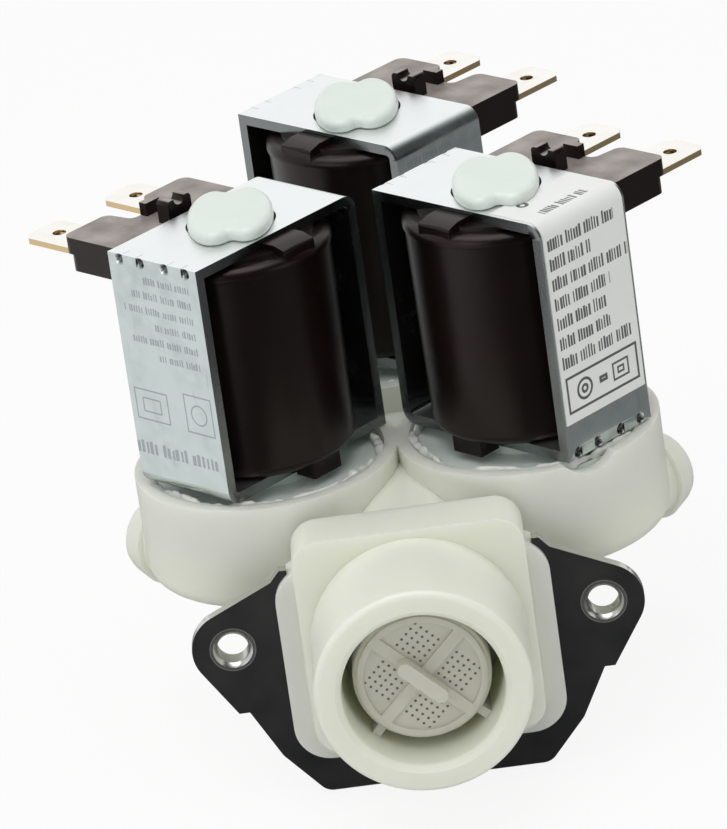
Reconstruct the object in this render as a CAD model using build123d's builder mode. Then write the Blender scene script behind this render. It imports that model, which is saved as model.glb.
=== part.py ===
from build123d import *
import math
import os

# Triple solenoid water valve for an appliance: one inlet, three outlets.
# The origin is midway between the two screw holes, in the front face of the bracket.
# +Y runs from the inlet into the appliance, +Z is up, sizes are in millimetres.

# Inlet nose and block
nose_radius = 13.2
nose_length = 16.0
nose_edge = 0.8
bore_radius = 9.85
bore_depth = 16.4
block_half = 14.2
block_corner = 3.4
block_front = 2.2
block_back = 5.0
lip_wall = 1.9
lip_drop = 3.8
lip_corner = 4.5
lip_front = 1.0
lip_back = 1.6
slot_gap = 0.7
slot_rise = 0.8
slot_play = 0.05
cut_play = 0.1
cut_over = 1.0

# Bracket
plate_thick = 1.5
hole_out = 7.9
hole_rise = 0.5
screw_radius = 1.95
collar_radius = 2.7
collar_depth = 1.4
ear_radius = 5.0
collar_bevel = 0.5
step_out = 7.0
step_height = 8.2
step_depth = 1.3
foot_out = 3.7
foot_rise = 1.2
foot_drop = 6.7
foot_in = 1.0
foot_corner = 2.0
shoulder_out = 2.2
shoulder_height = 8.7
top_out = 1.0
top_drop = 0.3

# Layout of the three valves
pair_side = 16.35
pair_back = 22.5
rear_back = 55.4
pair_turn = 45.0

# Valve cups in the body
cup_radius = 16.5
cup_bottom = 2.0
cup_rise = 6.7
cup_wall = 1.7
cup_edge = 2.4
ledge_rise = 1.2
chamber_radius = 12.6
chamber_floor = 4.3
seat_radius = 4.9
seat_height = 8.0
outlet_bore = 3.2
notch_radius = 4.6
notch_depth = 1.5
notch_turn = 64.0
web_top = 12.4
web_half = 5.2

# Water ways
channel_radius = 5.0
channel_wall = 2.0
channel_end = 45.8
port_radius = 2.0
port_side = 4.8
port_rear = 45.2
hump_radius = 8.2
hump_centre = 5.4
regulator_radius = 7.8
regulator_depth = 5.0
boss_radius = 6.4
boss_drop = 6.2
tail_radius = 5.0
tail_length = 23.6
barb_radius = 5.75
barb_length = 2.6
barb_pitch = 3.4
tail_edge = 0.4

# Inlet filter
filter_radius = 8.4
filter_wall = 0.9
filter_front = 13.2
filter_end = 0.9
filter_edge = 0.5
rim_thick = 1.0
rib_wide = 1.5
rib_raise = 0.35
pull_wide = 1.8
pull_long = 7.2
pull_raise = 2.0
guide_wide = 1.1
guide_turn = 48.0

# Flow regulator
holder_thick = 2.0
washer_thick = 2.4
washer_hole = 1.6
holder_bar = 1.2

# Yoke, two equal bent halves
yoke_depth = 15.2
yoke_height = 31.2
strip = 1.3
bend_inner = 0.6
finger_wide = 2.5
finger_side = 3.9
finger_play = 0.05
stake_radius = 0.8
stake_depth = 0.45
stake_gap = 0.5
stake_taper = 50.0
yoke_lift = 0.2
pole_hole = 5.6

# Coil
winding_deep = 2.75
coil_draft = 0.3
coil_bead = 0.25
coil_band = 2.0
coil_edge = 1.3
coil_foot = 1.5
coil_wall = 2.0
side_gap = 0.55
ring_wall = 1.8
ring_rise = 0.5
tab_half = 2.55
tab_in = 0.25
tab_nose = 0.3
tab_rise = 0.8
tab_slope = 1.8
tab_edge = 0.5
tab_play = 0.1
lug_half = 2.3
lug_in = 0.9
lug_rise = 3.2
lug_drop = 0.3
case_end = 1.2
bobbin_wall = 0.8
flange_thick = 1.0
bush_wall = 0.8
bush_length = 8.2
winding_play = 0.15

# Connector block and spades
plug_half = 10.7
plug_end = 19.2
plug_thick = 4.6
lobe_inner = 3.1
lobe_edge = 1.2
waist_half = 2.6
waist_back = 14.9
waist_edge = 1.0
band_thick = 2.2
band_step = 0.35
post_half = 2.0
post_long = 2.0
post_rise = 1.7
post_gap = 1.2
post_groove = 0.9
post_edge = 0.6
hook_half = 1.2
hook_long = 1.2
hook_rise = 0.4
relief_side = 9.6
relief_wide = 3.6
relief_deep = 1.0
spade_side = 6.75
spade_wide = 6.3
spade_thick = 0.8
spade_drop = 3.6
spade_free = 8.3
spade_root = 6.0
spade_hole = 0.85
spade_hole_back = 3.3
spade_tip = 1.0

# Guide tube and bonnet
tube_radius = 5.3
tube_bore = 4.1
bonnet_play = 0.1
bonnet_thick = 4.3
bonnet_boss = 7.4
bonnet_dome = 9.0
dome_rise = 1.5
weld_wide = 0.7
weld_deep = 0.5
head_long = 7.6
head_lobe = 3.4
lobe_out = 1.95
lobe_join = 0.8
head_rise = 1.6
head_edge = 0.9
head_play = 0.05
tube_end = 0.6

# Moving pieces
running_gap = 0.05
armature_radius = 4.0
armature_length = 27.0
armature_edge = 0.4
armature_stroke = 2.4
membrane_thick = 1.2
web_inner = 8.0
stem_radius = 2.4
stem_drop = 1.6
insert_radius = 6.0
insert_flange = 0.9
pilot_radius = 0.6
nipple_radius = 1.3
nipple_rise = 0.8
seal_radius = 2.3
seal_thick = 1.8
seal_proud = 0.3
spring_bore = 2.3
spring_depth = 8.0
spring_wire = 0.5
spring_radius = 1.75
spring_turns = 6

# Rating label
label_thick = 0.1
label_start = 5.5
label_reach = 7.2
label_drop = 26.5

os.makedirs("parts", exist_ok=True)

nose_tip = block_front + nose_length
slot_half = block_half + slot_gap
slot_bottom = block_half - slot_rise
lip_half = slot_half + lip_wall
lip_bottom = slot_bottom + lip_wall
lip_top = block_half - lip_drop
hole_side = slot_half + hole_out
step_side = slot_half + step_out
foot_side = slot_half + foot_out
foot_half = slot_half - foot_in
foot_height = slot_bottom + foot_rise
foot_bottom = slot_bottom + foot_drop
plate_top = lip_top - top_drop
ledge_height = seat_height + ledge_rise
cup_top = ledge_height + cup_rise
bush_inner = tube_radius + running_gap * 2
bobbin_bore = bush_inner + bush_wall + running_gap
bobbin_tube = bobbin_bore + bobbin_wall
bobbin_radius = bobbin_tube + winding_deep
coil_radius = bobbin_radius + coil_wall
bead_radius = coil_radius + coil_bead
yoke_width = 2 * (bead_radius + side_gap + strip)
yoke_bottom = cup_top + yoke_lift
yoke_top = yoke_bottom + yoke_height
floor_top = yoke_bottom + strip
roof = yoke_top - strip
half_width = yoke_width / 2
half_depth = yoke_depth / 2
cup_bore = cup_radius - cup_wall
case_low = floor_top + case_end
case_high = roof - case_end
bore_end = bore_depth - nose_tip
seat_end = bore_end + regulator_depth
notch_height = cup_top + notch_radius - notch_depth
insert_low = seat_height + membrane_thick
insert_top = insert_low + insert_flange
bonnet_low = ledge_height + membrane_thick
bonnet_top = bonnet_low + bonnet_thick
dome_height = bonnet_low + dome_rise
bend_outer = bend_inner + strip
seal_low = insert_top + nipple_rise
armature_low = seal_low + seal_proud
seal_top = seal_low + seal_thick
armature_high = armature_low + armature_length
spring_low = armature_high - spring_depth
tube_top = yoke_top - tube_end
spade_height = yoke_top - spade_drop
head_low = yoke_top + label_thick + head_play


def spot(x, y, turn):
    """Plane of one valve: its x runs across the yoke, its y towards the spades."""
    angle = math.radians(turn)
    return Plane(origin=(x, y, -hole_rise), x_dir=(math.cos(angle), math.sin(angle), 0),
                 z_dir=(0, 0, 1))


def upright(base):
    """Vertical plane through a valve axis, seen from its open front."""
    return Plane(origin=base.origin, x_dir=base.x_dir, z_dir=-base.y_dir)


def finish(piece, name):
    piece.label = name
    export_step(piece, f"parts/{name}.step")


valves = {
    "left": spot(-pair_side, pair_back, pair_turn),
    "right": spot(pair_side, pair_back, -pair_turn),
    "rear": spot(0, rear_back, -pair_turn),
}
outlet_turns = {"left": pair_turn, "right": -pair_turn, "rear": 0}
front = Plane(origin=(0, 0, -hole_rise), x_dir=(1, 0, 0), z_dir=(0, -1, 0))
level = Plane(origin=(0, 0, -hole_rise))
inlet = Axis((0, 0, -hole_rise), (0, 1, 0))

# Body moulding: nose, block, grooved collar, channel, three cups and three outlet tails
with BuildPart() as body:
    for base in valves.values():
        with BuildSketch(upright(base)) as cup_side:
            with BuildLine():
                Polyline((0, cup_bottom), (cup_radius, cup_bottom), (cup_radius, cup_top),
                         (0, cup_top), close=True)
            make_face()
            fillet(cup_side.vertices().group_by(Axis.Y)[0].sort_by(Axis.X)[-1], cup_edge)
        revolve(axis=Axis(base.origin, (0, 0, 1)))
    with BuildSketch(level.offset(cup_bottom)):
        with BuildLine():
            Polyline((-pair_side, pair_back), (0, pair_back - web_half), (pair_side, pair_back),
                     (web_half, rear_back), (-web_half, rear_back), close=True)
        make_face()
    extrude(amount=web_top - cup_bottom)
    with BuildSketch(front.offset(-channel_end - channel_wall)):
        Circle(channel_radius + channel_wall)
    extrude(amount=channel_end + channel_wall - block_back)
    with BuildSketch(front.offset(-pair_back)):
        with Locations((0, hump_centre)):
            Circle(hump_radius)
        with Locations((0, hump_centre / 2)):
            Rectangle(2 * hump_radius, hump_centre)
    extrude(amount=pair_back - block_back)
    with BuildSketch(front.offset(-block_back)):
        RectangleRounded(2 * block_half, 2 * block_half, block_corner)
    extrude(amount=block_back + block_front)
    with BuildSketch(front.offset(-plate_thick - slot_play - lip_back)):
        with Locations((0, (lip_top - lip_bottom) / 2)):
            RectangleRounded(2 * lip_half, lip_top + lip_bottom, lip_corner)
    extrude(amount=lip_back + plate_thick + slot_play + lip_front)
    with BuildSketch(level) as nose_side:
        with BuildLine():
            Polyline((0, 0), (nose_radius, 0), (nose_radius, -nose_tip), (0, -nose_tip), close=True)
        make_face()
        fillet(nose_side.vertices().group_by(Axis.Y)[0].sort_by(Axis.X)[-1], nose_edge)
    revolve(axis=inlet)
    for name, base in valves.items():
        with BuildSketch(base.offset(-boss_drop)):
            Circle(boss_radius)
        extrude(amount=boss_drop + cup_bottom + cup_edge)
        turn = math.radians(outlet_turns[name])
        way = Plane(origin=base.origin, x_dir=(math.cos(turn), math.sin(turn), 0),
                    z_dir=(math.sin(turn) * -1, math.cos(turn), 0))
        with BuildSketch(Plane(origin=way.origin, x_dir=way.z_dir, z_dir=-way.x_dir)):
            with BuildLine():
                Polyline((0, 0), (0, tail_radius), (tail_length - 2 * barb_pitch, tail_radius),
                         (tail_length - 2 * barb_pitch, barb_radius),
                         (tail_length - 2 * barb_pitch + barb_length, tail_radius),
                         (tail_length - barb_pitch, tail_radius),
                         (tail_length - barb_pitch, barb_radius),
                         (tail_length - barb_pitch + barb_length, tail_radius),
                         (tail_length, tail_radius - tail_edge), (tail_length, 0), close=True)
            make_face()
        revolve(axis=Axis(way.origin, way.z_dir))
    for name, base in valves.items():
        with BuildSketch(base.offset(ledge_height)):
            Circle(cup_bore)
        extrude(amount=cup_top - ledge_height, mode=Mode.SUBTRACT)
        with BuildSketch(base.offset(chamber_floor)):
            Circle(chamber_radius)
            Circle(seat_radius, mode=Mode.SUBTRACT)
        extrude(amount=ledge_height - chamber_floor, mode=Mode.SUBTRACT)
        with BuildSketch(base.offset(seat_height)):
            Circle(chamber_radius)
        extrude(amount=ledge_height - seat_height, mode=Mode.SUBTRACT)
        with BuildSketch(base):
            Circle(outlet_bore)
        extrude(amount=seat_height, mode=Mode.SUBTRACT)
        turn = math.radians(outlet_turns[name])
        way = Plane(origin=base.origin, x_dir=(math.cos(turn), math.sin(turn), 0),
                    z_dir=(math.sin(turn) * -1, math.cos(turn), 0))
        with BuildSketch(way.offset(-outlet_bore)):
            Circle(outlet_bore)
        extrude(amount=tail_length + 2 * outlet_bore, mode=Mode.SUBTRACT)
    with BuildSketch(level) as bore_side:
        with BuildLine():
            Polyline((0, bore_end), (bore_radius, bore_end), (bore_radius, nose_edge - nose_tip),
                     (bore_radius + nose_edge, -nose_tip),
                     (bore_radius + nose_edge, -nose_tip - cut_over), (0, -nose_tip - cut_over),
                     close=True)
        make_face()
        mouth = bore_side.vertices().filter_by(lambda v: abs(v.Y + nose_tip - nose_edge) < 0.01)
        fillet(mouth, nose_edge)
    revolve(axis=inlet, mode=Mode.SUBTRACT)
    with BuildSketch(front.offset(-seat_end)):
        Circle(regulator_radius)
    extrude(amount=regulator_depth, mode=Mode.SUBTRACT)
    with BuildSketch(front.offset(-channel_end)):
        Circle(channel_radius)
    extrude(amount=channel_end - bore_end, mode=Mode.SUBTRACT)
    with BuildSketch(level.offset(channel_radius / 2)):
        with Locations((-port_side, pair_back), (port_side, pair_back), (0, port_rear)):
            Circle(port_radius)
    extrude(amount=chamber_floor - channel_radius / 2 + cut_play, mode=Mode.SUBTRACT)
    with BuildSketch(front.offset(-plate_thick - slot_play)):
        with Locations((0, (lip_top - lip_bottom) / 2)):
            Rectangle(2 * (lip_half + cut_over), lip_top + lip_bottom + 2 * cut_over)
        with Locations((0, (block_half - slot_bottom) / 2)):
            RectangleRounded(2 * slot_half, block_half + slot_bottom, block_corner,
                             mode=Mode.SUBTRACT)
    extrude(amount=plate_thick + slot_play, mode=Mode.SUBTRACT)
    turn = math.radians(90 - notch_turn)
    notch_plane = Plane(origin=(pair_side, pair_back, notch_height - hole_rise),
                        x_dir=(math.cos(turn), math.sin(turn), 0),
                        z_dir=(math.sin(turn), -math.cos(turn), 0))
    with BuildSketch(notch_plane.offset(cup_bore - cup_wall)):
        Circle(notch_radius)
    extrude(amount=3 * cup_wall, mode=Mode.SUBTRACT)
finish(body.part, "valve_body")

# Bracket: flat plate, open at the top, with two drawn screw holes
def tangent_point(point, centre, radius, side):
    """Where a line from a point touches a circle, on the side asked for."""
    across = point[0] - centre[0]
    up = point[1] - centre[1]
    angle = math.atan2(up, across) + side * math.acos(radius / math.hypot(across, up))
    return (centre[0] + radius * math.cos(angle), centre[1] + radius * math.sin(angle))


ear = (hole_side, hole_rise)
step_corner = (step_side + step_depth, -step_height)
shoulder = (slot_half + shoulder_out, shoulder_height)
screws = [(-hole_side, hole_rise), (hole_side, hole_rise)]
cut_tall = 2 * (slot_bottom + plate_top)
with BuildPart() as bracket:
    with BuildSketch(front) as outline:
        with BuildLine():
            Polyline((0, -foot_bottom), (foot_half, -foot_bottom), (foot_side, -foot_height),
                     (step_side, -step_height), step_corner,
                     tangent_point(step_corner, ear, ear_radius, 1), ear,
                     tangent_point(shoulder, ear, ear_radius, -1),
                     shoulder, (slot_half + top_out, plate_top), (0, plate_top), close=True)
        make_face()
        foot = outline.vertices().filter_by(lambda v: v.X > 0.1).sort_by(Axis.Y)[0:2]
        fillet(foot, foot_corner)
        with Locations(ear):
            Circle(ear_radius)
        mirror(about=Plane.YZ)
        with Locations((0, cut_tall / 2 - slot_bottom - cut_play)):
            RectangleRounded(2 * (slot_half + cut_play), cut_tall, block_corner + cut_play,
                             mode=Mode.SUBTRACT)
    extrude(amount=-plate_thick)
    with BuildSketch(front.offset(-plate_thick)):
        with Locations(*screws):
            Circle(collar_radius)
    extrude(amount=-collar_depth)
    with BuildSketch(front):
        with Locations(*screws):
            Circle(screw_radius)
    extrude(amount=-plate_thick - collar_depth, mode=Mode.SUBTRACT)
    mouths = bracket.edges().filter_by(GeomType.CIRCLE).group_by(Axis.Y)[0]
    chamfer(mouths.filter_by(lambda e: abs(e.radius - screw_radius) < 0.01), collar_bevel)
finish(bracket.part, "bracket")

# Inlet filter: a thimble with a closed, ribbed end, a pull bar and guide ribs
rim_radius = bore_radius - running_gap
rim_front = bore_end - rim_thick
with BuildPart() as strainer:
    with BuildSketch(level) as thimble:
        with BuildLine():
            Polyline((0, -filter_front), (filter_radius, -filter_front), (filter_radius, rim_front),
                     (rim_radius, rim_front), (rim_radius, bore_end),
                     (filter_radius - filter_wall, bore_end),
                     (filter_radius - filter_wall, filter_end - filter_front),
                     (0, filter_end - filter_front), close=True)
        make_face()
        fillet(thimble.vertices().group_by(Axis.Y)[0].sort_by(Axis.X)[-1], filter_edge)
    revolve(axis=inlet)
    with BuildSketch(front.offset(filter_front)):
        with PolarLocations(0, 4, start_angle=45):
            Rectangle(2 * filter_radius, rib_wide)
        Circle(filter_radius - filter_edge, mode=Mode.INTERSECT)
        Circle(filter_radius - filter_edge)
        Circle(filter_radius - filter_edge - rib_wide / 2, mode=Mode.SUBTRACT)
        with PolarLocations(0, 4, start_angle=45):
            Rectangle(2 * (filter_radius - filter_edge) - rib_wide / 2, rib_wide)
    extrude(amount=rib_raise)
    with BuildSketch(front.offset(filter_front + rib_raise)):
        SlotOverall(pull_long, pull_wide, rotation=-45)
    extrude(amount=pull_raise)
    with BuildSketch(front.offset(-rim_front)):
        with PolarLocations((filter_radius + rim_radius - filter_wall) / 2, 4, start_angle=guide_turn):
            Rectangle(rim_radius - filter_radius + filter_wall, guide_wide)
    extrude(amount=filter_front - filter_edge + rim_front)
finish(strainer.part, "inlet_filter")

# Flow regulator: a rubber washer in front of a plastic holder
washer_back = seat_end - holder_thick
with BuildPart() as holder:
    with BuildSketch(front.offset(-seat_end)):
        Circle(regulator_radius - running_gap)
        Circle(channel_radius - holder_bar, mode=Mode.SUBTRACT)
    extrude(amount=holder_thick)
    with BuildSketch(front.offset(-seat_end)):
        with PolarLocations(0, 3):
            Rectangle(2 * channel_radius, holder_bar)
    extrude(amount=holder_thick / 2)
finish(holder.part, "regulator_holder")

with BuildPart() as washer:
    with BuildSketch(front.offset(-washer_back)):
        Circle(regulator_radius - running_gap)
        Circle(washer_hole, mode=Mode.SUBTRACT)
    extrude(amount=washer_thick)
finish(washer.part, "regulator_washer")


def half_yoke(base, side):
    """One bent half of the yoke: its plate, its long leg, its fingers and its notches."""
    middle = (yoke_bottom + yoke_top) / 2

    def at(x, z):
        return (side * x, middle + side * (z - middle))

    with BuildPart() as half:
        with BuildSketch(upright(base).offset(-half_depth)) as bend:
            with BuildLine():
                Polyline(at(strip - half_width, yoke_top), at(half_width, yoke_top),
                         at(half_width, yoke_bottom), at(half_width - strip, yoke_bottom),
                         at(half_width - strip, roof), at(strip - half_width, roof), close=True)
            make_face()
            corner = at(half_width, yoke_top)
            fillet(bend.vertices().sort_by_distance((corner[0], corner[1], 0))[0], bend_outer)
            corner = at(half_width - strip, roof)
            fillet(bend.vertices().sort_by_distance((corner[0], corner[1], 0))[0], bend_inner)
        extrude(amount=yoke_depth)
        level = min(at(0, roof)[1], at(0, yoke_top)[1])
        with BuildSketch(base.offset(level)):
            with Locations(*[(at(strip / 2 - half_width, 0)[0], y) for y in (-finger_side, finger_side)]):
                Rectangle(strip, finger_wide - 2 * finger_play)
        extrude(amount=strip)
        low = min(at(0, yoke_bottom)[1], at(0, floor_top)[1])
        with BuildSketch(base.offset(low)):
            with Locations(*[(at(half_width - strip / 2, 0)[0], y) for y in (-finger_side, finger_side)]):
                Rectangle(strip, finger_wide)
        extrude(amount=strip, mode=Mode.SUBTRACT)
        with BuildSketch(base.offset(level)):
            Circle(pole_hole)
        extrude(amount=strip, mode=Mode.SUBTRACT)
        leg_face = Plane(origin=base.origin + base.x_dir * (side * half_width), x_dir=base.y_dir * side,
                         z_dir=base.x_dir * side)
        stake_side = finger_wide / 2 + stake_gap
        with BuildSketch(leg_face):
            with Locations(*[(y + gap, low + strip / 2) for y in (-finger_side, finger_side)
                             for gap in (-stake_side, stake_side)]):
                Circle(stake_radius)
        extrude(amount=-stake_depth, taper=stake_taper, mode=Mode.SUBTRACT)
    return half.part


def plug_outline(shrink):
    """Edge of the connector block: two lobes with a waist between them."""
    with BuildSketch() as outline:
        with BuildLine():
            Polyline((-plug_half + shrink, 0), (-plug_half + shrink, plug_end - shrink),
                     (-lobe_inner - shrink, plug_end - shrink), (-waist_half - shrink, waist_back - shrink),
                     (waist_half + shrink, waist_back - shrink), (lobe_inner + shrink, plug_end - shrink),
                     (plug_half - shrink, plug_end - shrink), (plug_half - shrink, 0), close=True)
        make_face()
        tips = outline.vertices().group_by(Axis.Y)[-1]
        fillet(tips, lobe_edge)
        waist = outline.vertices().filter_by(lambda v: abs(v.Y - waist_back + shrink) < 0.01)
        fillet(waist, waist_edge)
    return outline.sketch


def revolved(base, points):
    """A turned solid on the valve axis from its half section of radius and height."""
    with BuildPart() as turned:
        with BuildSketch(upright(base)):
            with BuildLine():
                Polyline(*points, close=True)
            make_face()
        revolve(axis=Axis(base.origin, (0, 0, 1)))
    return turned.part


def make_valve(name, base):
    """All the pieces of one valve, from its yoke down to its membrane."""
    finish(half_yoke(base, 1), f"yoke_cover_{name}")
    finish(half_yoke(base, -1), f"yoke_base_{name}")
    side = Plane(origin=base.origin, x_dir=base.y_dir, z_dir=base.x_dir)
    up = Axis(base.origin, (0, 0, 1))
    plug_low = plug_outline(band_step)
    plug_high = plug_outline(0)

    with BuildPart() as case:
        with BuildSketch(upright(base)) as round_body:
            with BuildLine():
                Polyline((0, floor_top), (coil_radius - coil_draft, floor_top),
                         (coil_radius, roof - coil_band), (bead_radius, roof - coil_band),
                         (bead_radius, roof - ring_rise), (coil_radius - ring_wall, roof - ring_rise),
                         (coil_radius - ring_wall, roof), (0, roof), close=True)
            make_face()
            fillet(round_body.vertices().sort_by_distance((bead_radius, roof - ring_rise, 0))[0],
                   coil_edge)
            fillet(round_body.vertices().group_by(Axis.Y)[0].sort_by(Axis.X)[-1], coil_foot)
        revolve(axis=up)
        tab_back = -half_depth - tab_play
        tab_front = tab_in - coil_radius
        with BuildSketch(side.offset(-tab_half)) as tab:
            with BuildLine():
                Polyline((tab_back, roof - coil_band), (tab_front, roof - coil_band),
                         (tab_front, roof + tab_nose), (tab_front + tab_slope, roof + tab_rise),
                         (tab_back, roof + tab_rise), close=True)
            make_face()
            fillet(tab.vertices().sort_by_distance((tab_front, roof + tab_nose, 0))[0], tab_edge)
        extrude(amount=2 * tab_half)
        with BuildSketch(side.offset(-lug_half)):
            with BuildLine():
                Polyline((tab_back, floor_top + lug_rise), (lug_in - coil_radius, floor_top + lug_rise),
                         (lug_in - coil_radius, yoke_bottom - lug_drop),
                         (tab_back, yoke_bottom - lug_drop), close=True)
            make_face()
        extrude(amount=2 * lug_half)
        with BuildSketch(base.offset(roof - plug_thick)):
            add(plug_low)
        extrude(amount=plug_thick - band_thick)
        with BuildSketch(base.offset(roof - band_thick)):
            add(plug_high)
        extrude(amount=band_thick)
        post_front = half_depth + post_gap
        with BuildSketch(upright(base).offset(-post_front - post_long)) as post:
            with BuildLine():
                Polyline((-post_half, roof - band_thick), (post_half, roof - band_thick),
                         (post_half, yoke_top + post_rise), (-post_half, yoke_top + post_rise), close=True)
            make_face()
            fillet(post.vertices().group_by(Axis.Y)[-1], post_edge)
            with Locations((0, yoke_top + post_rise)):
                Circle(post_groove, mode=Mode.SUBTRACT)
        extrude(amount=post_long)
        with BuildSketch(base.offset(roof - band_thick)):
            with Locations((0, waist_back - hook_long / 2)):
                Rectangle(2 * hook_half, hook_long)
        extrude(amount=yoke_top + hook_rise - roof + band_thick)
        with BuildSketch(base.offset(roof - relief_deep)):
            with Locations((-relief_side, half_depth + relief_deep / 2),
                           (relief_side, half_depth + relief_deep / 2)):
                Rectangle(relief_wide, relief_deep)
        extrude(amount=relief_deep, mode=Mode.SUBTRACT)
        with BuildSketch(base.offset(case_low)):
            Circle(bobbin_radius + running_gap)
        extrude(amount=case_high - case_low, mode=Mode.SUBTRACT)
        with BuildSketch(base.offset(floor_top)):
            Circle(bobbin_tube + running_gap)
        extrude(amount=roof - floor_top, mode=Mode.SUBTRACT)
        with BuildSketch(base.offset(spade_height - spade_thick / 2)):
            with Locations(*[(x, plug_end - spade_root / 2) for x in (-spade_side, spade_side)]):
                Rectangle(spade_wide, spade_root)
        extrude(amount=spade_thick, mode=Mode.SUBTRACT)
    finish(case.part, f"coil_case_{name}")

    finish(revolved(base, [
        (bobbin_bore, floor_top), (bobbin_tube, floor_top), (bobbin_tube, case_low),
        (bobbin_radius, case_low), (bobbin_radius, case_low + flange_thick),
        (bobbin_tube, case_low + flange_thick), (bobbin_tube, case_high - flange_thick),
        (bobbin_radius, case_high - flange_thick), (bobbin_radius, case_high),
        (bobbin_tube, case_high), (bobbin_tube, roof), (bobbin_bore, roof)]), f"bobbin_{name}")

    wire_in = bobbin_tube + running_gap
    wire_out = bobbin_radius - winding_play
    wire_low = case_low + flange_thick
    wire_high = case_high - flange_thick
    finish(revolved(base, [(wire_in, wire_low), (wire_out, wire_low), (wire_out, wire_high),
                           (wire_in, wire_high)]), f"winding_{name}")

    bush_outer = bush_inner + bush_wall
    for end, low in (("lower", floor_top), ("upper", roof - bush_length)):
        finish(revolved(base, [(bush_inner, low), (bush_outer, low), (bush_outer, low + bush_length),
                               (bush_inner, low + bush_length)]), f"flux_bush_{end}_{name}")

    for hand, sign in (("a", -1), ("b", 1)):
        with BuildPart() as spade:
            with BuildSketch(base.offset(spade_height - spade_thick / 2)) as blade:
                with Locations((sign * spade_side, plug_end + (spade_free - spade_root) / 2)):
                    Rectangle(spade_wide, spade_free + spade_root)
                chamfer(blade.vertices().group_by(Axis.Y)[-1], spade_tip)
                with Locations((sign * spade_side, plug_end + spade_free - spade_hole_back)):
                    Circle(spade_hole, mode=Mode.SUBTRACT)
            extrude(amount=spade_thick)
        finish(spade.part, f"spade_{hand}_{name}")

    with BuildPart() as tube:
        with BuildSketch(upright(base)):
            with BuildLine():
                Polyline((bonnet_dome, bonnet_low), (cup_bore - bonnet_play, bonnet_low),
                         (cup_bore - bonnet_play, bonnet_top - weld_deep),
                         (cup_bore - weld_wide, bonnet_top - weld_deep),
                         (cup_bore - weld_wide, bonnet_top), (bonnet_boss, bonnet_top),
                         (bonnet_boss, yoke_bottom), (tube_radius, yoke_bottom),
                         (tube_radius, head_low), (0, head_low), (0, tube_top),
                         (tube_bore, tube_top), (tube_bore, dome_height), (bonnet_dome, dome_height),
                         close=True)
            make_face()
        revolve(axis=up)
        with BuildSketch(Plane(origin=base.origin + Vector(0, 0, head_low))) as head:
            with Locations((-lobe_out, 0), (lobe_out, 0)):
                Ellipse(head_lobe, head_long)
            fillet(head.vertices().filter_by(lambda v: abs(v.X) < lobe_join), lobe_join)
        extrude(amount=yoke_top + head_rise - head_low)
        fillet(tube.faces().sort_by(Axis.Z)[-1].edges(), head_edge)
    finish(tube.part, f"guide_tube_{name}")

    finish(revolved(base, [
        (0, seal_top), (seal_radius, seal_top), (seal_radius, armature_low),
        (armature_radius - armature_edge, armature_low),
        (armature_radius, armature_low + armature_edge),
        (armature_radius, armature_high - armature_edge),
        (armature_radius - armature_edge, armature_high), (spring_bore, armature_high),
        (spring_bore, spring_low), (0, spring_low)]), f"armature_{name}")

    finish(revolved(base, [
        (0, seal_low), (seal_radius - seal_proud, seal_low), (seal_radius, armature_low),
        (seal_radius, seal_top), (0, seal_top)]), f"armature_seal_{name}")

    coil_rise = tube_top - spring_low - spring_wire
    start = base.origin + Vector(0, 0, spring_low + spring_wire / 2)
    with BuildPart() as spring:
        with BuildLine() as wind:
            Helix(coil_rise / spring_turns, coil_rise, spring_radius, center=start)
        with BuildSketch(Plane(origin=wind.line @ 0, z_dir=wind.line % 0)):
            RegularPolygon(spring_wire / 2, 4)
        sweep(is_frenet=True)
    finish(spring.part, f"return_spring_{name}")

    finish(revolved(base, [
        (stem_radius, seat_height), (web_inner, seat_height), (chamber_radius, ledge_height),
        (cup_bore - bonnet_play, ledge_height), (cup_bore - bonnet_play, bonnet_low),
        (chamber_radius, bonnet_low), (web_inner, insert_low), (stem_radius, insert_low)]),
        f"membrane_{name}")

    finish(revolved(base, [
        (pilot_radius, seat_height - stem_drop), (stem_radius - running_gap, seat_height - stem_drop),
        (stem_radius - running_gap, insert_low), (insert_radius, insert_low),
        (insert_radius, insert_top), (nipple_radius, insert_top), (nipple_radius, seal_low),
        (pilot_radius, seal_low)]), f"membrane_insert_{name}")


for name, base in valves.items():
    make_valve(name, base)

# Rating label, wrapped over the bend of the right yoke
base = valves["right"]
label_foot = yoke_top - label_drop
outer_side = half_width + label_thick
outer_top = yoke_top + label_thick
with BuildPart() as label:
    with BuildSketch(upright(base).offset(-label_reach)):
        with BuildLine():
            FilletPolyline((label_start, yoke_top), (half_width, yoke_top), (half_width, label_foot),
                           radius=bend_outer)
            FilletPolyline((label_start, outer_top), (outer_side, outer_top), (outer_side, label_foot),
                           radius=bend_outer + label_thick)
            Line((label_start, yoke_top), (label_start, outer_top))
            Line((half_width, label_foot), (outer_side, label_foot))
        make_face()
    extrude(amount=2 * label_reach)
finish(label.part, "rating_label")
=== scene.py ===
import math

import bpy
import numpy as np
from mathutils import Matrix, Vector


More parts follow.
